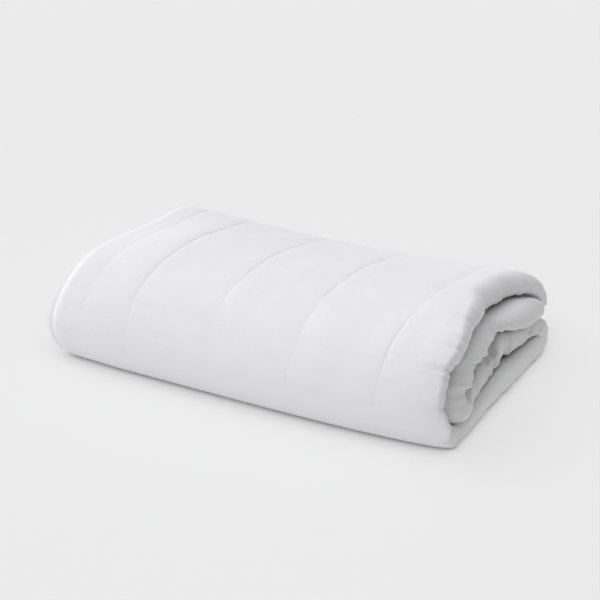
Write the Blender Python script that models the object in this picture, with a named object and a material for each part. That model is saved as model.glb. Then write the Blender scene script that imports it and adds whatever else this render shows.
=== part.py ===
"""A quilted weighted blanket, folded into a flat bundle.

The filled cloth is folded in half crosswise, so its fold noses all lie at the right end of the bundle and its hems at
the left end. The doubled cloth is then folded twice more, back and forth along the bundle's length. All of it is one
closed solid: a ladder of rungs follows the doubled cloth through its folds, each rung running from the cloth's face to
its back, and a loop around every rung gives the two plies, the nose that joins them and the narrow gap between them.

Frame: +X along the bundle towards the fold noses, +Y from its round front edge to its back, +Z up, in metres. The
section table measures y from the line where the front touches the ground. Distances called x in the functions run the
other way, from the right end of the ground contact to the left. The finished mesh is moved so that the origin lies
under the middle of the bundle.
"""

from math import cos, exp, pi, sin

import bmesh
import bpy
import numpy as np

# Driving sizes
LENGTH = 0.600  # right end of the ground contact to the left hems
POCKET = 0.127  # pitch of the quilted squares
FIRST_SEAM = 0.088  # right end to the first seam across the bundle
BORDER_SEAM = 0.546  # right end to the seam that holds the left hem's roll
PLY_GAP = 0.003  # between the two plies

# Quilting
PUFF = 0.0035  # how far a pocket stands above its seams
SEAM_WIDTH = 0.016  # half the width of the valley that a seam draws in
ROW_DEPTH = 0.6  # depth of the seams along the bundle, as a share of those across it

# Fold noses and hems
NOSE_DEPTH = 0.65  # depth of a fold nose, as a share of half the doubled cloth
HEM_DEPTH = 0.035  # length over which a ply narrows to its hem
HEM_WANDER = 0.003  # how far the hems wander along the bundle
HEM_WAVES = 31.0  # radians of that wandering for each metre of hem

# Unevenness of the whole bundle: the top's back half sinks and the front swells out, most of all halfway along, and
# both draw in at the hems
SAG = 0.012
HEM_SAG = 0.006
SAG_STARTS, SAG_FULL = 0.14, 0.31  # along y
SWELL = 0.014
HEM_TUCK = 0.007
SWELL_FULL, SWELL_ENDS = 0.0, 0.16  # along y
HEM_SHAPE_STARTS = 0.48  # from the right end
STACK = 0.12  # height over which the layers share in the sinking

# Mesh steps
LONGEST_STEP = 0.034  # between two rungs
NOSE_STEPS = 6
HEM_STEPS = 6
BACK_SPANS = 8  # of the inner ply along x
GAP_SPANS = 5  # of the gap's two walls along x
POCKET_SHARES = (0.0, 0.12, 0.5, 0.88)  # places of the outer ply's points along a pocket
NOSE_SHARES = (0.0, 0.2, 0.6)  # and from the first seam to the nose

COTTON_WHITE = (0.86, 0.86, 0.88, 1.0)
COTTON_ROUGHNESS = 0.85

# The section, as rungs from the cloth's face to its back, in the order in which the doubled cloth runs through its
# folds. The cloth's face is its outer side on the outermost layer. "nose" is how far the layer's fold nose stands back
# from the end of the ground contact, and "puff" is the share of the pockets' height that shows there.
# name, face y, face z, back y, back z, nose, puff
SECTION = (
    ("outer edge", 0.3530, 0.0590, 0.3460, 0.0590, 0.006, 0.0),
    ("outer edge roll", 0.3555, 0.0730, 0.3390, 0.0705, 0.007, 0.3),
    ("back top shoulder", 0.3480, 0.0990, 0.3230, 0.0830, 0.011, 0.7),
    ("top, back", 0.3210, 0.1180, 0.3030, 0.0920, 0.018, 1.0),
    ("top, back slope", 0.2830, 0.1280, 0.2740, 0.0975, 0.027, 1.0),
    ("top, behind the middle", 0.2400, 0.1345, 0.2360, 0.1030, 0.030, 1.0),
    ("top, middle", 0.1900, 0.1410, 0.1900, 0.1095, 0.030, 1.0),
    ("top, crown", 0.1350, 0.1455, 0.1390, 0.1130, 0.027, 1.0),
    ("top, front", 0.0850, 0.1460, 0.0960, 0.1125, 0.018, 1.0),
    ("top, front slope", 0.0450, 0.1420, 0.0640, 0.1090, 0.010, 1.0),
    ("front shoulder", 0.0120, 0.1320, 0.0370, 0.1010, 0.008, 1.0),
    ("front, upper", -0.0160, 0.1150, 0.0130, 0.0880, 0.010, 1.0),
    ("front, above the middle", -0.0360, 0.0930, -0.0040, 0.0740, 0.008, 1.0),
    ("front, middle", -0.0455, 0.0700, -0.0120, 0.0610, 0.005, 1.0),
    ("front, lower", -0.0430, 0.0450, -0.0130, 0.0470, 0.001, 0.8),
    ("front, foot", -0.0290, 0.0200, -0.0070, 0.0345, -0.004, 0.4),
    ("front, on the ground", -0.0100, 0.0030, 0.0070, 0.0265, -0.009, 0.1),
    ("bottom, front", 0.0150, 0.0000, 0.0260, 0.0235, -0.010, 0.0),
    ("bottom, before the middle", 0.0560, 0.0000, 0.0580, 0.0260, -0.009, 0.0),
    ("bottom, middle", 0.1050, 0.0000, 0.1050, 0.0340, -0.008, 0.0),
    ("bottom, behind the middle", 0.1600, 0.0000, 0.1590, 0.0395, -0.009, 0.0),
    ("bottom, back slope", 0.2150, 0.0000, 0.2120, 0.0360, -0.009, 0.0),
    ("bottom, back", 0.2700, 0.0000, 0.2620, 0.0330, -0.008, 0.0),
    ("back fold, start", 0.3120, 0.0000, 0.2870, 0.0320, -0.008, 0.0),
    ("back fold, low", 0.3350, 0.0090, 0.2960, 0.0320, -0.007, 0.0),
    ("back fold, end", 0.3420, 0.0240, 0.2990, 0.0330, -0.006, 0.0),
    ("back fold, high", 0.3340, 0.0410, 0.2960, 0.0342, -0.004, 0.0),
    ("third layer, back", 0.3140, 0.0500, 0.2870, 0.0348, 0.000, 0.0),
    ("third layer, back slope", 0.2800, 0.0535, 0.2620, 0.0362, 0.003, 0.0),
    ("third layer, behind the middle", 0.2330, 0.0645, 0.2130, 0.0400, 0.008, 0.0),
    ("third layer, middle", 0.1830, 0.0790, 0.1640, 0.0465, 0.008, 0.0),
    ("third layer, before the middle", 0.1400, 0.0850, 0.1150, 0.0400, -0.005, 0.0),
    ("third layer, front", 0.0980, 0.0775, 0.0680, 0.0310, -0.006, 0.0),
    ("third layer, foot", 0.0680, 0.0650, 0.0360, 0.0275, -0.006, 0.0),
    ("front fold, start", 0.0480, 0.0545, 0.0160, 0.0280, -0.007, 0.0),
    ("front fold, low", 0.0385, 0.0500, 0.0010, 0.0350, -0.010, 0.0),
    ("front fold, end", 0.0350, 0.0510, -0.0080, 0.0480, -0.012, 0.0),
    ("front fold, high", 0.0370, 0.0540, -0.0065, 0.0640, -0.011, 0.0),
    ("second layer, foot", 0.0480, 0.0640, 0.0060, 0.0790, -0.006, 0.0),
    ("second layer, front", 0.0800, 0.0790, 0.0350, 0.0960, -0.002, 0.0),
    ("second layer, before the middle", 0.1280, 0.0905, 0.0850, 0.1085, 0.000, 0.0),
    ("second layer, middle", 0.1830, 0.0840, 0.1420, 0.1095, -0.001, 0.0),
    ("second layer, behind the middle", 0.2350, 0.0690, 0.1960, 0.1055, -0.003, 0.0),
    ("second layer, back slope", 0.2800, 0.0580, 0.2470, 0.0990, -0.004, 0.0),
    ("second layer, back", 0.3110, 0.0545, 0.2900, 0.0905, -0.003, 0.0),
    ("inner edge roll", 0.3270, 0.0580, 0.3140, 0.0820, 0.000, 0.0),
    ("inner edge", 0.3320, 0.0660, 0.3260, 0.0740, 0.003, 0.0),
)


def ease(value, low, high):
    """0 below low, 1 above high, and a soft step between them."""
    u = min(max((value - low) / (high - low), 0.0), 1.0)
    return u * u * (3 - 2 * u)


def along(rungs):
    """Distance from the outer edge to each rung, along the middle of the doubled cloth."""
    middle = (rungs[:, 0:2] + rungs[:, 2:4]) / 2
    return np.concatenate(([0.0], np.cumsum(np.linalg.norm(np.diff(middle, axis=0), axis=1))))


def stations(distance):
    """Distances of all rungs: those of the table, and even steps between two that lie far apart."""
    found = [distance[0]]
    for start, end in zip(distance[:-1], distance[1:]):
        steps = int(np.ceil((end - start) / LONGEST_STEP))
        found += list(np.linspace(start, end, steps + 1)[1:])
    return np.array(found)


def smooth(distance, rungs, wanted):
    """The rungs at the wanted distances, read from one smooth curve through each column of the table."""
    slope = np.gradient(rungs, distance, axis=0)
    left = np.clip(np.searchsorted(distance, wanted, side="right") - 1, 0, len(distance) - 2)
    span = (distance[left + 1] - distance[left])[:, None]
    u = (wanted - distance[left])[:, None] / span
    value = (2 * u**3 - 3 * u**2 + 1) * rungs[left] + (u**3 - 2 * u**2 + u) * span * slope[left]
    return value + (3 * u**2 - 2 * u**3) * rungs[left + 1] + (u**3 - u**2) * span * slope[left + 1]


def seams():
    """Places of the seams across the bundle, from the right end."""
    count = int((BORDER_SEAM - FIRST_SEAM) / POCKET) + 1
    return [FIRST_SEAM + k * POCKET for k in range(count)] + [BORDER_SEAM]


def pocket_height(x, q):
    """How far the face stands above its seams, at x along the bundle and q along the doubled cloth."""
    across = min(abs(x - seam) for seam in seams())
    row = abs((q + POCKET / 2) % POCKET - POCKET / 2)
    valley = exp(-((across / SEAM_WIDTH) ** 2))
    row_valley = ROW_DEPTH * exp(-((row / SEAM_WIDTH) ** 2))
    return PUFF * (1 - valley) * (1 - row_valley)


def face_places(nose_start):
    """x of the outer ply's points, from the hem's taper to the start of the nose."""
    edges = [LENGTH - HEM_DEPTH] + seams()[::-1]
    places = []
    for far, near in zip(edges[:-1], edges[1:]):
        shares = POCKET_SHARES if far - near > POCKET / 2 else POCKET_SHARES[:1]
        places += [far + (near - far) * share for share in shares]
    return places + [edges[-1] + (nose_start - edges[-1]) * share for share in NOSE_SHARES]


def half_turn(steps):
    """Angles from a quarter turn down to a quarter turn up, in even steps."""
    return [pi * k / steps - pi / 2 for k in range(steps + 1)]


def around(half, nose):
    """The loop around one rung, as (x, place on the rung from -1 at its back to 1 at its face)."""
    depth = half * NOSE_DEPTH
    gap = PLY_GAP / 2 / half
    ply_middle, ply_half = (1 + gap) / 2, (1 - gap) / 2
    taper = LENGTH - HEM_DEPTH
    hem = [(taper + HEM_DEPTH * cos(turn), ply_middle + ply_half * sin(turn)) for turn in half_turn(HEM_STEPS)]
    face = [(x, 1.0) for x in face_places(nose + depth)[1:]]
    tip = [(nose + depth * (1 - cos(turn)), -sin(turn)) for turn in half_turn(NOSE_STEPS)]
    back = [(x, -1.0) for x in np.linspace(nose + depth, taper, BACK_SPANS + 1)[1:-1]]
    back_hem = [(x, -place) for x, place in hem[::-1]]
    walls = np.linspace(taper, nose + depth * (1 - gap), GAP_SPANS + 1)[1:]
    return hem + face + tip + back + back_hem + [(x, -gap) for x in walls] + [(x, gap) for x in walls[::-1]]


def settle(x, y, z):
    """(y, z) of a point of the even section once the bundle has sunk and swollen at x."""
    halfway = sin(pi * min(max(x, 0.0), LENGTH) / LENGTH)
    at_hems = ease(x, HEM_SHAPE_STARTS, LENGTH)
    sinking = SAG * halfway * ease(y, SAG_STARTS, SAG_FULL) + HEM_SAG * at_hems * ease(y, 0.0, SAG_STARTS)
    swelling = (SWELL * halfway - HEM_TUCK * at_hems) * (1 - ease(y, SWELL_FULL, SWELL_ENDS))
    return y - swelling, max(z - sinking * ease(z, 0.0, STACK), 0.0)


def ring(mesh, q, rung):
    """The mesh points around one rung, q along the doubled cloth."""
    face_y, face_z, back_y, back_z, nose, puff = rung
    half_y, half_z = (face_y - back_y) / 2, (face_z - back_z) / 2
    half = (half_y**2 + half_z**2) ** 0.5
    points = []
    for x, place in around(half, nose):
        swell = puff * pocket_height(x, q) * max(place, 0.0) ** 2 * ease(x, nose, nose + half)
        reach = place + swell / half
        y, z = settle(x, back_y + half_y * (1 + reach), back_z + half_z * (1 + reach))
        wander = HEM_WANDER * sin(q * HEM_WAVES) * ease(x, HEM_SHAPE_STARTS, LENGTH)
        points.append(mesh.verts.new((-x - wander, y, z)))
    return points


def blanket_mesh():
    """The folded blanket's closed mesh, in the section table's frame."""
    table = np.array([row[1:] for row in SECTION])
    distance = along(table)
    places = stations(distance)
    mesh = bmesh.new()
    rings = [ring(mesh, q, rung) for q, rung in zip(places, smooth(distance, table, places))]
    for here, there in zip(rings[:-1], rings[1:]):
        for k in range(len(here)):
            mesh.faces.new((here[k - 1], here[k], there[k], there[k - 1]))
    mesh.faces.new(rings[0])
    mesh.faces.new(rings[-1][::-1])
    bmesh.ops.recalc_face_normals(mesh, faces=mesh.faces)
    return mesh


def centre(mesh):
    """Moves the mesh so that the origin lies at the bottom centre of its box."""
    places = np.array([v.co for v in mesh.verts])
    low, high = places.min(axis=0), places.max(axis=0)
    middle = (low + high) / 2
    bmesh.ops.translate(mesh, vec=(-middle[0], -middle[1], -low[2]), verts=mesh.verts)


def cotton():
    """Plain white cotton."""
    material = bpy.data.materials.new("white_cotton")
    material.use_nodes = True
    shader = material.node_tree.nodes["Principled BSDF"]
    shader.inputs["Base Color"].default_value = COTTON_WHITE
    shader.inputs["Roughness"].default_value = COTTON_ROUGHNESS
    shader.inputs["Metallic"].default_value = 0.0
    return material


def make_blanket():
    """The blanket, as one named object."""
    mesh = blanket_mesh()
    centre(mesh)
    data = bpy.data.meshes.new("blanket")
    mesh.to_mesh(data)
    mesh.free()
    data.materials.append(cotton())
    data.shade_smooth()
    blanket = bpy.data.objects.new("blanket", data)
    bpy.context.scene.collection.objects.link(blanket)


for old in list(bpy.data.objects):
    bpy.data.objects.remove(old)
make_blanket()
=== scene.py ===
"""A folded, quilted weighted blanket of plain white cotton on a pale floor.

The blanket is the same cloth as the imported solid, folded in the same way, with its quilting, gathers,
creases, hems and stitches modelled finely. A ladder of rungs follows the doubled cloth through its folds,
each rung running from the cloth's face to its back. A loop around every rung gives the two plies and the
nose that joins them.

The section table and the functions that use it measure in metres from the right end of the blanket's front
contact with the floor: x runs to the left along the bundle, y towards the back and z up. "q" is the distance
along the doubled cloth, from its outer edge. "place" runs across the doubled cloth, from -1 at its back to 1
at its face.
"""

from math import radians

import bpy
import numpy as np
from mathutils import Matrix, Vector, noise


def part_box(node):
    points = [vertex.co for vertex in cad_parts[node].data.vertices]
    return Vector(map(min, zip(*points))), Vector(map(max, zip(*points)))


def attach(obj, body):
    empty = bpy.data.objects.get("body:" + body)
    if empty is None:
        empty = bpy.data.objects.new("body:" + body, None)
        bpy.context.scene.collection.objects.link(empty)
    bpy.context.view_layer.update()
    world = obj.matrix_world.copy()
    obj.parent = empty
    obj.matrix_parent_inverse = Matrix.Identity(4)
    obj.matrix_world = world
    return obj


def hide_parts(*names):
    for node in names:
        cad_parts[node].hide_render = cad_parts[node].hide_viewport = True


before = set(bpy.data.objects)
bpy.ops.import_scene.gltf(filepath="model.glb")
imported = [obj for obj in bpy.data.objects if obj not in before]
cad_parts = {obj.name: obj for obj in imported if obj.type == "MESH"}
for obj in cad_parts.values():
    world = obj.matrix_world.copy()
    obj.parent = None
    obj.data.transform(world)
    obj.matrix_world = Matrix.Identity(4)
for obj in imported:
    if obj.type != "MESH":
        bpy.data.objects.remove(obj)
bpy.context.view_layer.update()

# Driving sizes, as in the solid
LENGTH = 0.600  # right end of the floor contact to the left hems
POCKET = 0.127  # pitch of the quilted squares
FIRST_SEAM = 0.088  # right end to the first seam across the bundle
BORDER_SEAM = 0.546  # right end to the seam that holds the left hem's roll
PLY_GAP = 0.003
WIDEST_GAP = 0.43  # the gap's largest share of the doubled cloth, at its free edges
NOSE_REACH = 0.012  # how far the fold noses stand out to the right of the floor contact
FRONT_REACH = 0.0628  # how far the front stands out before it

# Hems
HEM_DEPTH = 0.024  # hem's edge to where its ply starts to thin
HEM_BAND = 0.008  # flat band outside the hem's stitches
HEM_THICK = 0.0026
HEM_THICKEST = 0.6  # the band's largest share of its ply
HEM_LEAN = 0.25  # how far each ply's hem lies towards its outer side
EDGE_ROUND = 0.001
CORNER_BACK, CORNER_OUT = 0.3, 0.7  # the band's rounded corner, as shares of EDGE_ROUND and of the band
END_OUT, END_IN = 0.8, 0.5  # the rounded ends of the cloth, as shares of EDGE_ROUND

# Unevenness of the whole bundle
SAG = 0.012  # sinking of the back half, midway along the bundle
SAG_STARTS, SAG_FULL = 0.14, 0.31  # y
HEM_SAG = 0.012  # sinking of the top at the hems, fullest between the front and the back
HEM_SAG_ENDS, HEM_SAG_OVER = 0.15, 0.36  # y
SINK_FULL = 0.12  # height from which the cloth sinks by the whole amount
SWELL = 0.014  # how far the front swells out
SWELL_SKEW, SWELL_TAPER = 0.65, 0.4  # the front swells most nearer the right end
SWELL_FULL, SWELL_ENDS = 0.0, 0.16  # y
HEM_TUCK = 0.004  # how far the front draws back at the hems
HEM_OUT = -0.001  # how far the hems stand out past LENGTH
HEM_WANDER = 0.003  # unevenness of the hems' line
HEM_WAVES = 31.0  # its waves, in radians for each metre of q
HEM_SHAPE_STARTS = 0.48  # x

# Quilting
PUFF = 0.0004  # height of the filled pockets over their seams
SEAM_WIDTH = 0.006
ROW_DEPTH = 0.18  # share of that height by which the seams along the bundle lie lower
ROW_PINCH = 0.0001  # depth of their grooves
PINCH_WIDTH = 0.0016
SEAM_GATHER = 0.0004  # height of the small puckers beside a seam
SEAM_GATHER_PITCH, SEAM_GATHER_LENGTH = 0.008, 0.05
SEAM_GATHER_REACH, SEAM_GATHER_BARE = 0.012, 0.002

# Gathers and creases at the fold noses
NOSE_GATHER = 0.0024  # height of the gathers
NOSE_GATHER_PITCH, NOSE_GATHER_LENGTH = 0.009, 0.08
NOSE_GATHER_REACH = 0.018
CREASE_SPREAD = 0.9  # place over which a crease fades out

# Filling
LUMP, LUMP_SIZE = 0.0010, 0.050
LUMP_FULL = 0.03  # the lumps reach their full height this far from the nose
CRUMPLE, CRUMPLE_SIZE = 0.0002, 0.014
SEAM_NOISE, NOSE_NOISE, LUMP_NOISE, CRUMPLE_NOISE = 1.0, 2.0, 5.0, 9.0  # a kind of noise for each

# Stitches
STITCH = 0.0030
STITCH_PITCH = 0.0042
STITCH_RADIUS = 0.0003
STITCH_SUNK = 0.6  # share of its radius by which a stitch lies in the cloth
STITCH_SIDES = 5
STITCH_RINGS = ((-0.36, 0.7), (0.0, 1.0), (0.36, 0.7))  # share of the stitch's length, share of its radius
STITCH_SHARES = (0.2, 0.5, 0.8)  # where along its step a stitch's direction and middle are read
STITCHED = ((0.014, 0.455), (0.795, 0.880))  # the spans of q whose face shows
ROW_START = 0.35  # share of the nose's roll at which the rows' stitches start

# Painted shade: the cloth's colour is darkened where the folds and the ground keep the light away
PAINTED_FOLD_SHADE_ENDS = 0.20  # x that the painted shade between the folds doesn't reach past
PAINTED_FOLD_SHADE_EDGE = 0.2  # place over which it fades out
PAINTED_GROUND_SHADE_FULL, PAINTED_GROUND_SHADE_ENDS = 0.002, 0.005  # heights above the ground at which the painted shade near the ground is full and where it ends
INNER_STARTS = 0.89  # from this q on, both sides of the doubled cloth lie inside the bundle

# Mesh steps
RUNG_STEPS = (  # from q, to q, step
    (0.0, 0.50, 0.003),
    (0.50, 0.80, 0.010),
    (0.80, 1.34, 0.003),
    (1.34, 2.0, 0.005),
)
SEAM_OFFSETS = (0.001, 0.002, 0.004, 0.008, 0.014)  # the mesh's lines beside a seam
FACE_STEP = 0.010  # between the seams
NOSE_STEP = 0.004  # between the last seam and the noses
NOSE_STEPS = 20
HEM_STEPS = 6
HEM_BAND_STEPS = 3
HEM_POINTS = 2 * (HEM_STEPS + HEM_BAND_STEPS + 2) + 1  # points round one ply's hem
BACK_SPANS = 30
BACK_CLOSING = 1.6  # power by which the back's points lie closer together towards the nose
GAP_SPANS = 8

# Looks, with colours in linear light
COTTON_LIGHT, COTTON_DARK = (0.83, 0.83, 0.838, 1.0), (0.79, 0.79, 0.80, 1.0)
# painted shade: the colour the cloth is darkened to deep in the folds and near the ground
COTTON_PAINTED_SHADE = (0.36, 0.36, 0.35, 1.0)
COTTON_ROUGHNESS, ROUGHER_SLUBS = 0.82, 0.12
WEAVE_PITCH = 0.0005
WEAVE_HEIGHT, SLUB_HEIGHT, CRINKLE_HEIGHT = 0.00004, 0.00012, 0.00045
SLUB_SCALE, CLOUD_SCALE, CRINKLE_SCALE = 60, 22, 190
SOFT_DETAIL, FINE_DETAIL = 2.0, 3.0
SLUB_ACROSS, SLUB_ALONG = 14, 0.6  # how much finer and coarser a thread's slubs are than SLUB_SCALE
THREAD_LIGHT, THREAD_DARK = (0.86, 0.86, 0.868, 1.0), (0.80, 0.80, 0.808, 1.0)
FIBRE_SCALE, FIBRE_HEIGHT = 900, 0.0001
FLOOR_COLOUR = (0.85, 0.85, 0.85, 1.0)
FLOOR_SIZE = 30
FLOOR_CLEARANCE = 0.0004
SKY_LEFT, SKY_RIGHT = (0.56, 0.56, 0.57, 1.0), (0.40, 0.402, 0.395, 1.0)
SKY_SPAN = 0.6  # the sky's sides have their full colours this far from its middle
CLOTH_LIGHT, FLOOR_LIGHT = (1.0, 0.985, 1.05), (1.0, 1.0, 1.0)

# Camera, from the right end of the floor contact
CAMERA_LENS, CAMERA_SENSOR = 106.8, 36.0  # millimetres
CAMERA_PLACE = (0.7583, -1.8720, 1.1217)
CAMERA_DOWN, CAMERA_LEFT = 24.4415, 27.654  # degrees below level and to the left of straight back

# name, x, groove, deepest q, spread of q
SEAMS = (
    ("right", FIRST_SEAM, 0.0006, 0.365, 0.05),
    ("middle right", FIRST_SEAM + POCKET, 0.0005, 0.20, 0.12),
    ("middle left", FIRST_SEAM + 2 * POCKET, 0.0005, 0.20, 0.12),
    ("left", FIRST_SEAM + 3 * POCKET, 0.0007, 0.20, 0.16),
    ("hem roll", BORDER_SEAM, 0.0004, 0.08, 0.10),
)

# name, q, place, depth, width towards smaller q, width towards larger q, reach from the nose,
# power (1 sharp, 2 soft)
CREASES = (
    ("lip, upper corner", 0.192, -0.3, 0.0020, 0.006, 0.006, 0.024, 1),
    ("lip, middle corner", 0.262, 0.2, 0.0020, 0.006, 0.006, 0.022, 1),
    ("lip, lower corner", 0.365, 0.5, 0.0028, 0.005, 0.005, 0.022, 1),
    ("lip, lowest corner", 0.405, 0.5, 0.0030, 0.005, 0.005, 0.020, 1),
    ("pucker 1", 0.285, 0.8, 0.0028, 0.003, 0.006, 0.020, 1),
    ("pucker 2", 0.308, 0.8, 0.0036, 0.006, 0.003, 0.022, 1),
    ("pucker 3", 0.330, 0.8, 0.0042, 0.003, 0.005, 0.020, 1),
    ("pucker 4", 0.348, 0.9, 0.0048, 0.005, 0.003, 0.022, 1),
    ("pucker 5", 0.379, 0.9, 0.0054, 0.003, 0.005, 0.022, 1),
    ("pucker 6", 0.392, 0.9, 0.0044, 0.004, 0.003, 0.020, 1),
    ("pucker 7", 0.425, 0.8, 0.0036, 0.004, 0.006, 0.022, 1),
    ("third layer, side fold", 0.866, 0.0, 0.0030, 0.006, 0.006, 0.030, 1),
    ("third layer, pouch", 0.935, -0.4, 0.0020, 0.006, 0.006, 0.024, 1),
    ("third layer, dent", 0.990, 0.2, 0.0115, 0.003, 0.028, 0.034, 1),
    ("third layer, nick", 1.060, 0.2, 0.0006, 0.006, 0.004, 0.020, 1),
    ("second layer, kink", 1.205, 0.7, 0.0030, 0.007, 0.007, 0.026, 1),
    ("second layer, upper kink", 1.238, 0.5, 0.0015, 0.006, 0.006, 0.022, 1),
    ("second layer, corner", 1.300, 0.7, 0.0025, 0.007, 0.007, 0.030, 1),
    ("bottom layer, full edge", 0.620, -0.8, -0.0030, 0.120, 0.120, 0.025, 2),
    ("bottom layer, underside", 0.640, 1.0, 0.0022, 0.140, 0.140, 0.014, 2),
)

# name, q, distances in from the nose where the painted shade starts and where it is full, share
PAINTED_FOLD_SHADE = (
    ("bottom layer", 0.50, 0.004, 0.028, 1.0),
    ("third layer, back", 0.86, 0.002, 0.022, 1.0),
    ("third layer, middle", 1.00, 0.001, 0.018, 1.0),
    ("third layer, foot", 1.09, 0.001, 0.016, 1.0),
    ("front fold", 1.11, 0.010, 0.034, 0.4),
    ("second layer, foot", 1.15, 0.013, 0.030, 1.0),
    ("second layer, corner", 1.28, 0.010, 0.033, 1.0),
    ("second layer, back", 1.36, 0.012, 0.045, 0.9),
)

# name, q, how much further in (above 0) or out (below 0) the nose lies there than in the section table
NOSE_CORNERS = (
    ("top, back", 0.070, 0.000),
    ("top, back slope", 0.100, 0.004),
    ("top, middle", 0.200, 0.003),
    ("lip, upper corner", 0.220, -0.004),
    ("lip, middle corner", 0.245, -0.006),
    ("lip, below the middle corner", 0.285, -0.004),
    ("lip, lower corner", 0.362, -0.009),
    ("lip, below the lower corner", 0.369, -0.007),
    ("lip, lowest corner", 0.402, -0.010),
    ("lip, below the lowest corner", 0.409, -0.008),
    ("front, lower", 0.450, -0.012),
    ("front, foot", 0.475, 0.003),
    ("bottom, front", 0.500, 0.003),
    ("bottom, middle", 0.600, 0.002),
    ("third layer, back", 0.850, 0.000),
    ("third layer, pouch", 0.930, -0.004),
    ("third layer, before the pouch", 0.945, 0.000),
    ("third layer, belly", 0.980, -0.005),
    ("third layer, dent", 1.020, 0.006),
    ("third layer, below the dent", 1.040, 0.008),
    ("third layer, front", 1.070, 0.006),
    ("third layer, foot", 1.090, 0.000),
    ("front fold, low corner", 1.120, -0.003),
    ("front fold, high", 1.150, 0.010),
    ("flap, lower side", 1.162, 0.009),
    ("flap, upper side", 1.167, 0.000),
    ("second layer, hollow", 1.195, 0.005),
    ("second layer, kink", 1.225, -0.002),
    ("second layer, corner", 1.300, 0.011),
    ("second layer, past the corner", 1.335, 0.003),
    ("second layer, belly", 1.370, -0.002),
    ("second layer, back slope", 1.430, 0.001),
    ("second layer, back", 1.450, 0.000),
)

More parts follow.
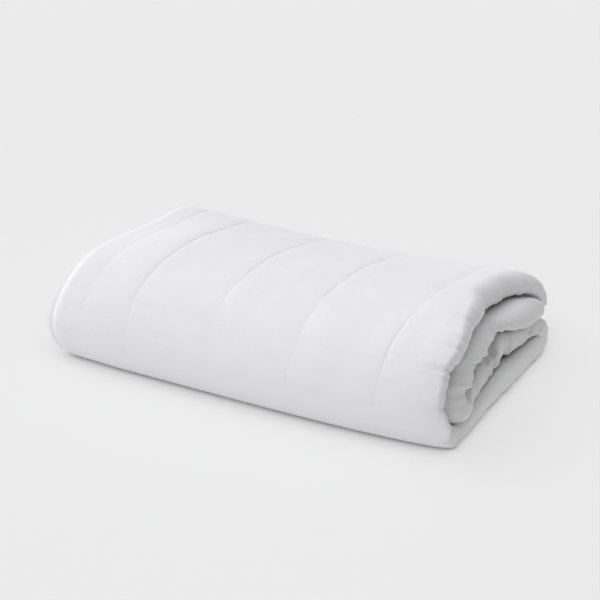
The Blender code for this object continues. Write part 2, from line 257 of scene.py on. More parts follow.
# name, face y, face z, back y, back z, nose, filling, crest, face roll, back roll, squareness
SECTION = (
    ("outer edge", 0.3530, 0.0590, 0.3460, 0.0590, 0.006, 0.00, 0.0, 0.004, 0.004, 2.2),
    ("outer edge roll", 0.3555, 0.0730, 0.3390, 0.0705, 0.007, 0.40, 0.0, 0.008, 0.008, 2.2),
    ("back top shoulder", 0.3480, 0.0990, 0.3230, 0.0830, 0.011, 0.80, -0.40, 0.022, 0.009, 2.2),
    ("top, back", 0.3210, 0.1180, 0.3030, 0.0920, 0.018, 1.00, -0.50, 0.026, 0.008, 2.2),
    ("top, back slope", 0.2830, 0.1280, 0.2740, 0.0975, 0.027, 1.00, -0.60, 0.030, 0.007, 2.2),
    ("top, behind the middle", 0.2400, 0.1345, 0.2360, 0.1030, 0.030, 1.00, -0.60, 0.030, 0.007, 2.2),
    ("top, middle", 0.1900, 0.1410, 0.1900, 0.1095, 0.030, 1.00, -0.50, 0.028, 0.009, 2.2),
    ("top, crown", 0.1350, 0.1455, 0.1390, 0.1130, 0.027, 1.00, -0.20, 0.018, 0.014, 2.2),
    ("top, front", 0.0850, 0.1460, 0.0960, 0.1125, 0.018, 1.00, 0.10, 0.012, 0.022, 2.2),
    ("top, front slope", 0.0450, 0.1420, 0.0640, 0.1090, 0.010, 1.00, 0.35, 0.009, 0.036, 2.1),
    ("front shoulder", 0.0120, 0.1320, 0.0370, 0.1010, 0.008, 0.90, 0.45, 0.008, 0.050, 1.9),
    ("front, upper", -0.0160, 0.1150, 0.0130, 0.0880, 0.010, 0.70, 0.55, 0.008, 0.056, 1.8),
    ("front, above the middle", -0.0360, 0.0930, -0.0040, 0.0740, 0.008, 0.50, 0.62, 0.008, 0.056, 1.7),
    ("front, middle", -0.0455, 0.0700, -0.0120, 0.0610, 0.005, 0.35, 0.65, 0.008, 0.052, 1.7),
    ("front, lower", -0.0415, 0.0450, -0.0130, 0.0470, 0.001, 0.25, 0.62, 0.008, 0.040, 1.8),
    ("front, foot", -0.0260, 0.0190, -0.0060, 0.0345, -0.004, 0.10, 0.55, 0.008, 0.024, 2.2),
    ("front, on the ground", -0.0125, 0.0042, 0.0070, 0.0265, -0.009, 0.00, 0.2, 0.006, 0.010, 3.2),
    ("bottom, front", 0.0110, 0.0026, 0.0260, 0.0235, -0.010, 0.00, 0.0, 0.010, 0.006, 3.2),
    ("bottom, before the middle", 0.0560, 0.0000, 0.0580, 0.0260, -0.009, 0.00, -0.1, 0.009, 0.006, 3.2),
    ("bottom, middle", 0.1050, 0.0000, 0.1050, 0.0340, -0.008, 0.00, -0.1, 0.009, 0.006, 3.2),
    ("bottom, behind the middle", 0.1600, 0.0000, 0.1590, 0.0395, -0.009, 0.00, -0.1, 0.009, 0.006, 3.2),
    ("bottom, back slope", 0.2150, 0.0000, 0.2120, 0.0360, -0.009, 0.00, -0.1, 0.009, 0.006, 3.2),
    ("bottom, back", 0.2700, 0.0000, 0.2620, 0.0330, -0.008, 0.00, -0.1, 0.009, 0.007, 3.2),
    ("back fold, start", 0.3120, 0.0000, 0.2870, 0.0320, -0.008, 0.20, 0.0, 0.008, 0.008, 3.0),
    ("back fold, low", 0.3350, 0.0090, 0.2960, 0.0320, -0.007, 0.40, 0.0, 0.010, 0.010, 3.0),
    ("back fold, end", 0.3420, 0.0240, 0.2990, 0.0330, -0.006, 0.50, 0.0, 0.012, 0.010, 3.0),
    ("back fold, high", 0.3340, 0.0410, 0.2960, 0.0342, -0.004, 0.40, 0.0, 0.011, 0.008, 3.0),
    ("third layer, back", 0.3140, 0.0500, 0.2870, 0.0348, 0.000, 0.20, -0.2, 0.010, 0.006, 2.2),
    ("third layer, back slope", 0.2800, 0.0535, 0.2620, 0.0362, 0.003, 0.00, -0.3, 0.010, 0.005, 2.2),
    ("third layer, behind the middle", 0.2330, 0.0645, 0.2130, 0.0400, 0.008, 0.00, -0.4, 0.012, 0.005, 2.2),
    ("third layer, middle", 0.1830, 0.0790, 0.1640, 0.0465, 0.008, 0.00, -0.65, 0.020, 0.005, 1.9),
    ("third layer, before the middle", 0.1400, 0.0850, 0.1150, 0.040, -0.005, 0.00, -0.75, 0.038, 0.005, 1.7),
    ("third layer, front", 0.0980, 0.0775, 0.0680, 0.0300, -0.006, 0.00, -0.75, 0.044, 0.005, 1.7),
    ("third layer, foot", 0.0680, 0.0650, 0.0360, 0.0262, -0.006, 0.00, -0.6, 0.036, 0.004, 1.7),
    ("front fold, start", 0.0480, 0.0545, 0.0160, 0.0262, -0.007, 0.00, -0.20, 0.008, 0.014, 1.8),
    ("front fold, low", 0.0385, 0.0500, 0.0010, 0.0350, -0.010, 0.00, 0.40, 0.006, 0.034, 1.7),
    ("front fold, end", 0.0350, 0.0510, -0.0080, 0.0480, -0.012, 0.00, 0.75, 0.005, 0.046, 1.6),
    ("front fold, high", 0.0370, 0.0540, -0.0065, 0.0640, -0.011, 0.00, 0.80, 0.005, 0.050, 1.6),
    ("second layer, foot", 0.0480, 0.0640, 0.0060, 0.0790, -0.006, 0.00, 0.80, 0.005, 0.054, 1.6),
    ("second layer, front", 0.0800, 0.0790, 0.0350, 0.0960, -0.002, 0.00, 0.80, 0.005, 0.056, 1.6),
    ("second layer, before the middle", 0.1280, 0.0905, 0.0850, 0.1085, 0.000, 0.00, 0.75, 0.006, 0.050, 1.7),
    ("second layer, middle", 0.1830, 0.0840, 0.1420, 0.1095, -0.001, 0.00, 0.60, 0.007, 0.040, 1.9),
    ("second layer, behind the middle", 0.2350, 0.069, 0.1960, 0.1055, -0.003, 0.00, 0.55, 0.008, 0.034, 2.0),
    ("second layer, back slope", 0.2800, 0.0580, 0.2470, 0.0990, -0.004, 0.00, 0.50, 0.008, 0.030, 2.0),
    ("second layer, back", 0.3110, 0.0545, 0.2900, 0.0905, -0.003, 0.00, 0.40, 0.008, 0.026, 2.0),
    ("inner edge roll", 0.3270, 0.0580, 0.3140, 0.0820, 0.000, 0.00, 0.20, 0.008, 0.014, 2.2),
    ("inner edge", 0.3320, 0.0660, 0.3260, 0.0740, 0.003, 0.00, 0.0, 0.005, 0.005, 2.2),
)
FACE, BACK = slice(0, 2), slice(2, 4)  # columns of a rung
NOSE, FILLING, CREST, FACE_ROLL = 4, 5, 6, 7


# --- rungs and their loops ----------------------------------------------------------------------------------


def ease(value, low, high):
    """0 below low, 1 above high, and a soft step between them."""
    u = np.clip((value - low) / (high - low), 0.0, 1.0)
    return u * u * (3 - 2 * u)


def bell(value, centre, width, power=2):
    """1 at the centre, falling off on both sides: a soft bell for power 2, a sharp point for power 1."""
    return np.exp(-(np.abs((value - centre) / width) ** power))


def columns_of(table, first, second):
    """Two columns of a table."""
    return [row[first] for row in table], [row[second] for row in table]


def along(rungs):
    """Distance from the outer edge to each rung, along the middle of the doubled cloth."""
    middle = (rungs[:, FACE] + rungs[:, BACK]) / 2
    return np.concatenate(([0.0], np.cumsum(np.linalg.norm(np.diff(middle, axis=0), axis=1))))


def smooth(distance, rungs, wanted):
    """The rungs at the wanted distances, read from one smooth curve through each column of the table."""
    slope = np.gradient(rungs, distance, axis=0)
    left = np.clip(np.searchsorted(distance, wanted, side="right") - 1, 0, len(distance) - 2)
    span = (distance[left + 1] - distance[left])[:, None]
    u = (wanted - distance[left])[:, None] / span
    value = (2 * u**3 - 3 * u**2 + 1) * rungs[left] + (u**3 - 2 * u**2 + u) * span * slope[left]
    return value + (3 * u**2 - 2 * u**3) * rungs[left + 1] + (u**3 - u**2) * span * slope[left + 1]


def section_rungs():
    """The section table's numbers, one row for each rung."""
    return np.array([row[1:] for row in SECTION])


def rungs_at(places):
    """The rungs at the distances, with the corners of their noses' outline."""
    table = section_rungs()
    rungs = smooth(along(table), table, places)
    rungs[:, NOSE] += np.interp(places, *columns_of(NOSE_CORNERS, 1, 2))
    return rungs


def half_widths(rungs):
    """Half the length of each rung."""
    return np.hypot(*(rungs[:, FACE] - rungs[:, BACK]).T) / 2


def ply_gap(half):
    """Half the gap between the plies, as a share of the rung's half."""
    return np.minimum(PLY_GAP / 2 / half, WIDEST_GAP)


def stations(end):
    """Distances q of the mesh's rungs, from 0 to end."""
    wanted = [0.0]
    for start, stop, step in RUNG_STEPS:
        stop = min(stop, end)
        count = max(1, int(round((stop - start) / step)))
        wanted += list(np.linspace(start, stop, count + 1)[1:])
    return np.array(wanted)


def seams():
    """Places of the seams across the bundle, from the right end."""
    return [seam[1] for seam in SEAMS]


def face_places(nose_start):
    """x of the outer ply's points, from the hem's taper to the nose's start, closer together at the seams.

    Their number is the same wherever the nose starts.
    """
    edges = [LENGTH - HEM_DEPTH] + seams()[::-1]
    places = [edges[0]]
    for far, near in zip(edges[:-1], edges[1:]):
        offsets = list(SEAM_OFFSETS)
        if far - near < POCKET / 2:
            offsets = [o for o in SEAM_OFFSETS if o < (far - near) / 2]
        start, stop = far - offsets[-1], near + offsets[-1]
        spans = max(1, int(round((start - stop) / FACE_STEP)))
        places += [far - o for o in offsets] + list(np.linspace(start, stop, spans + 1)[1:-1])
        places += [near + o for o in offsets[::-1]] + [near]
    start = edges[-1] - SEAM_OFFSETS[-1]
    spans = int(round((FIRST_SEAM - SEAM_OFFSETS[-1]) / NOSE_STEP))
    places += [edges[-1] - o for o in SEAM_OFFSETS]
    return places + list(np.linspace(start, nose_start, spans + 1)[1:])


def hem_points(ply_middle, ply_half, band_half):
    """One ply's hem as rows of x and place, from its inner side round to its outer side.

    The ply is rounded in to a flat band.
    """
    closing = HEM_DEPTH - HEM_BAND
    edge = np.arcsin(band_half / ply_half)
    turns = np.linspace(np.pi / 2, edge, HEM_STEPS + 1)
    curve = [(closing * np.cos(t), ply_half * np.sin(t)) for t in turns]
    band = np.linspace(curve[-1][0], HEM_DEPTH - EDGE_ROUND, HEM_BAND_STEPS + 1)[1:]
    outer = curve + [(d, band_half) for d in band]
    outer.append((HEM_DEPTH - CORNER_BACK * EDGE_ROUND, CORNER_OUT * band_half))
    offsets = [(d, -o) for d, o in outer] + [(HEM_DEPTH, 0.0)] + outer[::-1]
    return [(LENGTH - HEM_DEPTH + d, ply_middle + o + HEM_LEAN * (ply_half - abs(o))) for d, o in offsets]


def nose_points(nose, crest, face_roll, back_roll, square):
    """The nose as rows of x and place, from the face round to the back."""
    tip = []
    for t in np.linspace(-np.pi / 2, np.pi / 2, NOSE_STEPS + 1)[1:]:
        roll, reach = (face_roll, 1 - crest) if t < 0 else (back_roll, 1 + crest)
        depth = roll * (1 - np.abs(np.cos(t)) ** (2 / square))
        tip.append((nose + depth, crest - np.sign(t) * reach * np.abs(np.sin(t)) ** (2 / square)))
    return tip


def around(half, nose, crest, face_roll, back_roll, square):
    """The loop around one rung, as rows of x and place."""
    gap = ply_gap(half)
    ply_middle, ply_half = (1 + gap) / 2, (1 - gap) / 2
    hem = hem_points(ply_middle, ply_half, min(HEM_THICK / 2 / half, HEM_THICKEST * ply_half))
    face = [(x, 1.0) for x in face_places(nose + face_roll)[1:]]
    tip = nose_points(nose, crest, face_roll, back_roll, square)
    taper, inside = LENGTH - HEM_DEPTH, nose + back_roll
    shares = np.linspace(0, 1, BACK_SPANS + 1)[1:-1] ** BACK_CLOSING
    back = [(inside + (taper - inside) * s, -1.0) for s in shares]
    back_hem = [(x, -place) for x, place in hem[::-1]]
    walls = np.linspace(taper, nose + max(face_roll, back_roll), GAP_SPANS + 1)[1:]
    inner = [(x, -gap) for x in walls] + [(x, gap) for x in walls[::-1]]
    return np.array(hem + face + tip + back + back_hem + inner)


# --- the blanket's form -------------------------------------------------------------------------------------


def settle(x, y, z):
    """(y, z) of points of the even section once the bundle has sunk and swollen at x."""
    u = np.clip(x, 0.0, LENGTH) / LENGTH
    at_hems = ease(x, HEM_SHAPE_STARTS, LENGTH)
    sinking = SAG * np.sin(np.pi * u) * ease(y, SAG_STARTS, SAG_FULL)
    between = ease(y, 0.0, SAG_STARTS) * (1 - ease(y, HEM_SAG_ENDS, HEM_SAG_OVER))
    sinking = sinking + HEM_SAG * at_hems * between
    bulge = SWELL * np.sin(np.pi * u**SWELL_SKEW) * (1 - SWELL_TAPER * u)
    swelling = (bulge - HEM_TUCK * at_hems) * (1 - ease(y, SWELL_FULL, SWELL_ENDS))
    return y - swelling, np.maximum(z - sinking * ease(z, 0.0, SINK_FULL), 0.0)


def even_form(places, rungs):
    """The cloth's even surface: arrays of x, place on the rung, and point, one row for each rung."""
    loops = [around(half, rung[NOSE], *rung[CREST:]) for half, rung in zip(half_widths(rungs), rungs)]
    x = np.array([loop[:, 0] for loop in loops])
    place = np.array([loop[:, 1] for loop in loops])
    share = (1 + place) / 2
    (face_y, face_z), (back_y, back_z) = (rungs[:, side].T[..., None] for side in (FACE, BACK))
    y, z = settle(x, back_y + (face_y - back_y) * share, back_z + (face_z - back_z) * share)
    wander = HEM_OUT + HEM_WANDER * np.sin(places * HEM_WAVES)[:, None]
    return x, place, np.stack([-x - wander * ease(x, HEM_SHAPE_STARTS, LENGTH), y, z], axis=-1)


def normals_of(points):
    """Unit normals of the grid of points, whose rows are closed loops."""
    down = np.gradient(points, axis=0)
    ahead = np.roll(points, -1, axis=1) - np.roll(points, 1, axis=1)
    normal = np.cross(down, ahead)
    return normal / np.maximum(np.linalg.norm(normal, axis=-1, keepdims=True), 1e-12)


def noise_at(a, b, kind):
    """Smooth noise from -1 to 1 at the places (a, b), of one kind for each number."""
    flat = [noise.noise(Vector((u, v, kind))) for u, v in zip(a.ravel(), b.ravel())]
    return np.array(flat).reshape(a.shape)


def q_grid(places, grid):
    """q of every point of the grid."""
    return np.repeat(places[:, None], grid.shape[1], axis=1)


def quilting(q, x, shows):
    """Height of the filled pockets and of the seams between them."""
    across = np.min([np.abs(x - seam) for seam in seams()], axis=0)
    row = np.abs((q + POCKET / 2) % POCKET - POCKET / 2)
    puff = PUFF * (1 - bell(across, 0, SEAM_WIDTH)) * (1 - ROW_DEPTH * bell(row, 0, SEAM_WIDTH))
    grooves = ROW_PINCH * bell(row, 0, PINCH_WIDTH)
    for _, at, depth, deepest, spread in SEAMS:
        grooves = grooves + depth * bell(x, at, PINCH_WIDTH) * bell(q, deepest, spread)
    beside = bell(across, 0, SEAM_GATHER_REACH) * (1 - bell(across, 0, SEAM_GATHER_BARE))
    gather = noise_at(q / SEAM_GATHER_PITCH, x / SEAM_GATHER_LENGTH, SEAM_NOISE) * beside
    return (puff + SEAM_GATHER * gather - grooves) * shows


def noses(q, x, place, nose):
    """Height of the gathers and creases at the fold noses."""
    gather = noise_at(q / NOSE_GATHER_PITCH, x / NOSE_GATHER_LENGTH, NOSE_NOISE)
    height = NOSE_GATHER * gather * bell(x, nose, NOSE_GATHER_REACH)
    for _, at, side, depth, before, behind, reach, power in CREASES:
        width = np.where(q < at, before, behind)
        here = bell(place, side, CREASE_SPREAD) * bell(x, nose, reach)
        height = height - depth * bell(q, at, width, power) * here
    return height


def relief(places, rungs, x, place):
    """How far the cloth stands out from its even surface."""
    q = q_grid(places, x)
    nose, filling = rungs[:, NOSE, None], rungs[:, FILLING, None]
    half = half_widths(rungs)[:, None]
    outside = np.abs(place) > ply_gap(half) + 1e-6  # the points that don't face the gap between the plies
    hem = 1 - ease(x, LENGTH - HEM_DEPTH, LENGTH - HEM_BAND)
    shows = filling * np.clip(place, 0, 1) ** 2 * ease(x, nose, nose + half) * hem
    lump = LUMP * noise_at(q / LUMP_SIZE, x / LUMP_SIZE, LUMP_NOISE)
    lump = lump * ease(x, nose, nose + LUMP_FULL) * filling * hem
    crumple = CRUMPLE * noise_at(q / CRUMPLE_SIZE, x / CRUMPLE_SIZE, CRUMPLE_NOISE) * filling
    return np.where(outside, quilting(q, x, shows) + noses(q, x, place, nose) + lump + crumple, 0.0)


def painted_shade(places, rungs, x, place):
    """Painted shade between the folds at the noses, from 0 to 1: how deep each point lies there, times the
    table's share.
    """
    q = q_grid(places, x)
    starts, full, share = (np.interp(q, *columns_of(PAINTED_FOLD_SHADE, 1, k)) for k in (2, 3, 4))
    # painted shade: darker the further a point lies in from its nose
    depth = share * ease(x - rungs[:, NOSE, None], starts, full)
    depth = depth * (1 - ease(x, PAINTED_FOLD_SHADE_ENDS / 2, PAINTED_FOLD_SHADE_ENDS))
    return depth * np.where(q > INNER_STARTS, 1.0, ease(-place, -PAINTED_FOLD_SHADE_EDGE, PAINTED_FOLD_SHADE_EDGE))


def blanket_grid():
    """The blanket's points in the section table's frame, one row for each rung.

    With them come the rungs' q, each point's x, and the painted shade that the folds or the ground put on it.
    """
    places = stations(along(section_rungs())[-1])
    rungs = rungs_at(places)
    x, place, points = even_form(places, rungs)
    points = points + normals_of(points) * relief(places, rungs, x, place)[..., None]
    points[..., 2] = np.maximum(points[..., 2], 0.0)
    # painted shade: cloth within a few millimetres of the ground is darkened, standing for the contact shadow
    painted_ground_shade = 1 - ease(points[..., 2], PAINTED_GROUND_SHADE_FULL, PAINTED_GROUND_SHADE_ENDS)
    return places, x, points, np.maximum(painted_shade(places, rungs, x, place), painted_ground_shade)


def rounded_ends(points):
    """The grid with a rounded row added beyond its first and its last."""
    normal = normals_of(points)
    ends = []
    for row, inner in ((0, 1), (-1, -2)):
        out = points[row] - points[inner]
        out = out / np.linalg.norm(out, axis=-1, keepdims=True)
        ends.append(points[row] + EDGE_ROUND * (END_OUT * out - END_IN * normal[row]))
    return np.concatenate((ends[:1], points, ends[1:]))


def cloth_places(places, points):
    """The cloth's own coordinates: q, and the distance round each row from its hem, for the weave."""
    steps = np.linalg.norm(np.diff(points, axis=1), axis=-1)
    gone = np.concatenate((np.zeros((len(points), 1)), np.cumsum(steps, axis=1)), axis=1)
    q = q_grid(places, points)
    return np.stack([q, gone, np.zeros_like(q)], axis=-1)


def mesh_from_grid(name, points, cloth, painted_shade_amount):
    """A closed mesh over the grid, whose rows are closed loops.

    The cloth's own coordinates and its painted shade, in the folds and near the ground, are attributes.
    """
    rows, columns = points.shape[:2]
    here = np.arange(rows * columns).reshape(rows, columns)
    after = np.roll(here, -1, axis=1)
    quads = np.stack([here[:-1], after[:-1], after[1:], here[1:]], axis=-1).reshape(-1, 4)
    faces = quads.tolist() + [here[0, ::-1].tolist(), here[-1].tolist()]
    mesh = bpy.data.meshes.new(name)
    mesh.from_pydata(points.reshape(-1, 3).tolist(), [], faces)
    layer = mesh.attributes.new("cloth", "FLOAT_VECTOR", "POINT")
    layer.data.foreach_set("vector", cloth.reshape(-1))
    # painted shade of the folds and the ground, read by the cotton material
    layer = mesh.attributes.new("painted_shade", "FLOAT", "POINT")
    layer.data.foreach_set("value", painted_shade_amount.reshape(-1))
    mesh.shade_smooth()
    return mesh


# --- stitches -----------------------------------------------------------------------------------------------


class Face:
    """The blanket's face as a surface that is read at any q and x."""

    def __init__(self, places, x, points):
        hem = HEM_POINTS // 2
        crest = HEM_POINTS + len(face_places(0.0)) - 1 + NOSE_STEPS // 2
        self.places, self.x = places, x[:, hem:crest][:, ::-1]
        self.points = points[:, hem:crest][:, ::-1]
        self.normals = normals_of(points)[:, hem:crest][:, ::-1]

    def read(self, grid, q, x):
        """A vector of the grid at q and x."""
        row = int(np.clip(np.searchsorted(self.places, q) - 1, 0, len(self.places) - 2))
        share = (q - self.places[row]) / (self.places[row + 1] - self.places[row])
        near, far = (
            np.array([np.interp(x, self.x[r], grid[r][:, k]) for k in range(3)]) for r in (row, row + 1)
        )
        return near * (1 - share) + far * share

    def at(self, q, x):
        """The point at q and x."""
        return self.read(self.points, q, x)

    def normal(self, q, x):
        """The unit normal at q and x."""
        normal = self.read(self.normals, q, x)
        return normal / np.linalg.norm(normal)


def row_start(q):
    """x at which a stitched row at q comes over the nose."""
    rung = rungs_at(np.array([q]))[0]
    return rung[NOSE] + ROW_START * rung[FACE_ROLL]


def stitch_runs():
    """Start and end (q, x) of each stitched line on the face."""
    last = LENGTH - HEM_BAND
    runs = []
    for start, stop in STITCHED:
        runs += [((start, x), (stop, x)) for x in seams() + [last]]
        rows = [k * POCKET for k in range(1, int(stop / POCKET) + 1) if k * POCKET > start]
        runs += [((q, row_start(q)), (q, last)) for q in rows]
    return runs + [((HEM_BAND, row_start(HEM_BAND)), (HEM_BAND, last))]


def add_stitch(points, faces, middle, ahead, up):
    """Adds one stitch, a short bead whose ends dip into the cloth."""
    side = np.cross(up, ahead)
    turns = np.arange(STITCH_SIDES) * 2 * np.pi / STITCH_SIDES
    first = len(points)
    for share, radius in STITCH_RINGS:
        centre = middle + ahead * STITCH * share + up * STITCH_RADIUS * (radius - STITCH_SUNK)
        points += [centre + STITCH_RADIUS * radius * (side * np.cos(t) + up * np.sin(t)) for t in turns]
    points += [middle + ahead * STITCH * s / 2 - up * STITCH_RADIUS for s in (-1, 1)]
    back_tip, front_tip = len(points) - 2, len(points) - 1
    last = first + (len(STITCH_RINGS) - 1) * STITCH_SIDES
    for s in range(STITCH_SIDES):
        n = (s + 1) % STITCH_SIDES
        faces.append((back_tip, first + n, first + s))
        for a in range(first, last, STITCH_SIDES):
            b = a + STITCH_SIDES
            faces.append((a + s, a + n, b + n, b + s))
        faces.append((front_tip, last + s, last + n))


def stitch_mesh(name, face):
    """All the stitches as one mesh."""
    points, faces = [], []
    for start, stop in stitch_runs():
        start, stop = np.array(start), np.array(stop)
        count = int(np.linalg.norm(stop - start) / STITCH_PITCH)
        step = (stop - start) / count
        for k in range(count):
            before, middle, after = (start + step * (k + share) for share in STITCH_SHARES)
            ahead = face.at(*after) - face.at(*before)
            ahead = ahead / np.linalg.norm(ahead)
            add_stitch(points, faces, face.at(*middle), ahead, face.normal(*middle))
    mesh = bpy.data.meshes.new(name)
    mesh.from_pydata([tuple(p) for p in points], [], faces)
    mesh.shade_smooth()
    return mesh


# --- materials ----------------------------------------------------------------------------------------------


def new_material(name):
    """A node material, its tree and its Principled shader."""
    material = bpy.data.materials.new(name)
    material.use_nodes = True
    return material, material.node_tree, material.node_tree.nodes["Principled BSDF"]


def set_shader(shader, **values):
    """Sets the shader's sockets, whose names are given with _ for a space."""
    for key, value in values.items():
        shader.inputs[key.replace("_", " ")].default_value = value


def feed(tree, socket, value):
    """Links a socket to a node's output, or sets it to a number or colour."""
    if hasattr(value, "is_output"):
        tree.links.new(value, socket)
    else:
        socket.default_value = value


def attribute_node(tree, name):
    """A node that reads an attribute of the mesh."""
    node = tree.nodes.new("ShaderNodeAttribute")
    node.attribute_name = name
    return node


def math_node(tree, operation, *values):
    """A math node's output, from sockets or numbers."""
    node = tree.nodes.new("ShaderNodeMath")
    node.operation = operation
    for socket, value in zip(node.inputs, values):
        feed(tree, socket, value)
    return node.outputs[0]


def noise_node(tree, vector, scale, detail=SOFT_DETAIL, stretch=(1, 1, 1)):
    """A noise texture's value over the vector, stretched along its axes."""
    mapping = tree.nodes.new("ShaderNodeMapping")
    mapping.inputs["Scale"].default_value = stretch
    tree.links.new(vector, mapping.inputs["Vector"])
    node = tree.nodes.new("ShaderNodeTexNoise")
    node.inputs["Scale"].default_value = scale
    node.inputs["Detail"].default_value = detail
    tree.links.new(mapping.outputs["Vector"], node.inputs["Vector"])
    return node.outputs[0]


def blend_node(tree, factor, first, second):
    """A colour mixed from two colours by the factor."""
    node = tree.nodes.new("ShaderNodeMix")
    node.data_type = "RGBA"
    tree.links.new(factor, node.inputs["Factor"])
    feed(tree, node.inputs["A"], first)
    feed(tree, node.inputs["B"], second)
    return node.outputs["Result"]


def bump_node(tree, height, distance, normal=None):
    """A bump of the given height in metres, over another bump if there is one."""
    node = tree.nodes.new("ShaderNodeBump")
    node.inputs["Strength"].default_value = 1.0
    node.inputs["Distance"].default_value = distance
    tree.links.new(height, node.inputs["Height"])
    if normal is not None:
        tree.links.new(normal, node.inputs["Normal"])
    return node.outputs["Normal"]


def cotton_material():
    """White cotton in a fine plain weave, a little crinkled, with threads of slightly uneven thickness, and
    painted shade darkening it in the folds and near the ground.
    """
    material, tree, shader = new_material("white_cotton")
    place = attribute_node(tree, "cloth").outputs["Vector"]
    parts = tree.nodes.new("ShaderNodeSeparateXYZ")
    tree.links.new(place, parts.inputs[0])
    threads = [
        math_node(tree, "SINE", math_node(tree, "MULTIPLY", parts.outputs[axis], np.pi / WEAVE_PITCH))
        for axis in ("X", "Y")
    ]
    weave = math_node(tree, "MULTIPLY", *threads)
    warp_slubs = noise_node(tree, place, SLUB_SCALE, FINE_DETAIL, (SLUB_ACROSS, SLUB_ALONG, 1))
    weft_slubs = noise_node(tree, place, SLUB_SCALE, FINE_DETAIL, (SLUB_ALONG, SLUB_ACROSS, 1))
    slubs = math_node(tree, "MULTIPLY", math_node(tree, "ADD", warp_slubs, weft_slubs), 0.5)
    clouds = noise_node(tree, place, CLOUD_SCALE)
    halves = [math_node(tree, "MULTIPLY", value, 0.5) for value in (slubs, clouds)]
    open_colour = blend_node(tree, math_node(tree, "ADD", *halves), COTTON_DARK, COTTON_LIGHT)
    # painted shade: the colour is darkened in the folds and near the ground
    painted_shade_amount = attribute_node(tree, "painted_shade").outputs["Fac"]
    colour = blend_node(tree, painted_shade_amount, open_colour, COTTON_PAINTED_SHADE)
    tree.links.new(colour, shader.inputs["Base Color"])
    crinkle = bump_node(tree, noise_node(tree, place, CRINKLE_SCALE, FINE_DETAIL), CRINKLE_HEIGHT)
    slubbed = bump_node(tree, slubs, SLUB_HEIGHT, crinkle)
    woven = bump_node(tree, weave, WEAVE_HEIGHT, slubbed)
    tree.links.new(woven, shader.inputs["Normal"])
    rougher = math_node(tree, "MULTIPLY", slubs, ROUGHER_SLUBS)
    tree.links.new(math_node(tree, "ADD", rougher, COTTON_ROUGHNESS), shader.inputs["Roughness"])
    set_shader(shader, Specular_IOR_Level=0.2, Sheen_Weight=0.06, Sheen_Roughness=0.5)
    return material


def thread_material():
    """White sewing thread with a faint twist."""
    material, tree, shader = new_material("white_thread")
    coordinates = tree.nodes.new("ShaderNodeTexCoord")
    fibres = noise_node(tree, coordinates.outputs["Object"], FIBRE_SCALE)
    tree.links.new(blend_node(tree, fibres, THREAD_DARK, THREAD_LIGHT), shader.inputs["Base Color"])
    tree.links.new(bump_node(tree, fibres, FIBRE_HEIGHT), shader.inputs["Normal"])
    set_shader(shader, Roughness=0.75, Specular_IOR_Level=0.25, Sheen_Weight=0.1)
    return material


def floor_material():
    """The pale floor."""
    material, _, shader = new_material("pale_floor")
    set_shader(shader, Base_Color=FLOOR_COLOUR, Roughness=1.0, Specular_IOR_Level=0.0)
    return material


# --- the scene ----------------------------------------------------------------------------------------------


def piece(name, mesh, material):
    """An object that is part of the blanket."""
    mesh.materials.append(material)
    made = bpy.data.objects.new(name, mesh)
    bpy.context.scene.collection.objects.link(made)
    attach(made, "root")
    return made


def studio_sky():
    """Soft light from all round, brighter from the left."""
    world = bpy.data.worlds.new("studio")
    bpy.context.scene.world = world
    world.use_nodes = True
    tree = world.node_tree
    direction = tree.nodes.new("ShaderNodeTexCoord").outputs["Generated"]
    parts = tree.nodes.new("ShaderNodeSeparateXYZ")
    tree.links.new(direction, parts.inputs[0])
    across = tree.nodes.new("ShaderNodeMapRange")
    across.inputs["From Min"].default_value = -SKY_SPAN
    across.inputs["From Max"].default_value = SKY_SPAN
    tree.links.new(parts.outputs["X"], across.inputs["Value"])
    colour = blend_node(tree, across.outputs["Result"], SKY_LEFT, SKY_RIGHT)
    tree.links.new(colour, tree.nodes["Background"].inputs["Color"])


def studio_camera(corner):
    """The camera at the photograph's viewing angle, placed from the right end of the floor contact."""
    data = bpy.data.cameras.new("camera")
    data.lens = CAMERA_LENS
    data.sensor_width = CAMERA_SENSOR
    made = bpy.data.objects.new("camera", data)
    made.location = Vector(corner) + Vector(CAMERA_PLACE)
    made.rotation_euler = (radians(90 - CAMERA_DOWN), 0, radians(CAMERA_LEFT))
    bpy.context.scene.collection.objects.link(made)
    bpy.context.scene.camera = made


def group(name, objects):
    """A collection of the objects for a light, not in the scene."""
    made = bpy.data.collections.new(name)
    for each in objects:
        made.objects.link(each)
    return made


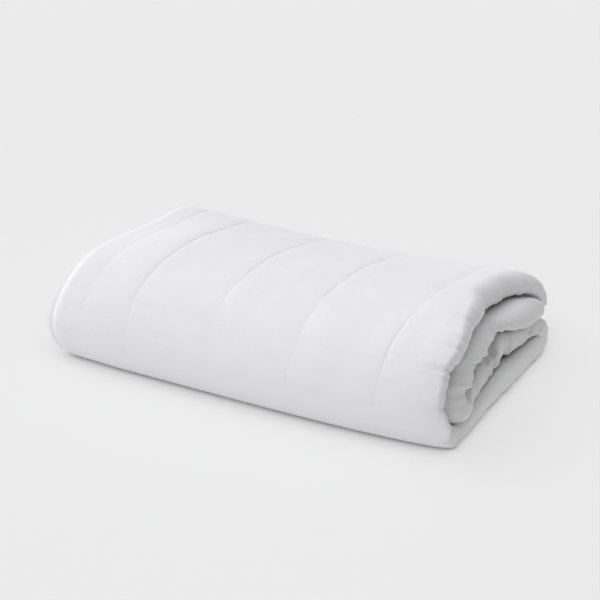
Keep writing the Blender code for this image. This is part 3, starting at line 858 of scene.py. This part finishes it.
def soft_light(name, source, strength, angle, colour, lit, shading=None):
    """A wide soft light, as many degrees across as its angle, that shines on the lit objects alone.

    Only the shading objects cast its shadows, or all objects where none are given.
    """
    data = bpy.data.lights.new(name, "SUN")
    data.energy, data.angle, data.color = strength, radians(angle), colour
    made = bpy.data.objects.new(name, data)
    made.rotation_euler = Vector(source).to_track_quat("Z", "Y").to_euler()
    bpy.context.scene.collection.objects.link(made)
    made.light_linking.receiver_collection = group(name + "_lit", lit)
    if shading is not None:
        made.light_linking.blocker_collection = group(name + "_shading", shading)


low, high = (np.array(corner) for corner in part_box("blanket"))
CORNER = np.array([high[0] - NOSE_REACH, low[1] + FRONT_REACH, low[2]])  # right end of the floor contact
studio_camera(CORNER)

places, x, points, painted_shade_amount = blanket_grid()
points = points + CORNER
ended = rounded_ends(points)
cloth = cloth_places(np.concatenate(([places[0] - EDGE_ROUND], places, [places[-1] + EDGE_ROUND])), ended)
# the rounded end rows take the painted shade of the rows beside them
painted_shade_amount = np.concatenate((painted_shade_amount[:1], painted_shade_amount, painted_shade_amount[-1:]))
blanket = piece("blanket_cloth", mesh_from_grid("blanket_cloth", ended, cloth, painted_shade_amount), cotton_material())
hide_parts("blanket")
stitches = piece("stitches", stitch_mesh("stitches", Face(places, x, points)), thread_material())

bpy.ops.mesh.primitive_plane_add(size=FLOOR_SIZE, location=(0, 0, low[2] - FLOOR_CLEARANCE))
floor = bpy.context.object
floor.name = "floor"
floor.data.materials.append(floor_material())

studio_sky()
sewn, ground = [blanket, stitches], [floor]
soft_light("key", (-0.80, -0.30, 0.45), 2.14, 90, CLOTH_LIGHT, lit=sewn)
soft_light("back_light", (-0.30, 0.50, 0.85), 0.76, 60, CLOTH_LIGHT, lit=sewn)
soft_light("floor_light", (0, 0, 1), 0.47, 40, FLOOR_LIGHT, lit=ground, shading=ground)
soft_light("floor_light_above", (0, 0, 1), 0.47, 110, FLOOR_LIGHT, lit=ground)
soft_light("floor_light_front", (0.30, -0.60, 1.00), 0.74, 60, FLOOR_LIGHT, lit=ground)

bpy.context.scene.view_settings.view_transform = "Standard"
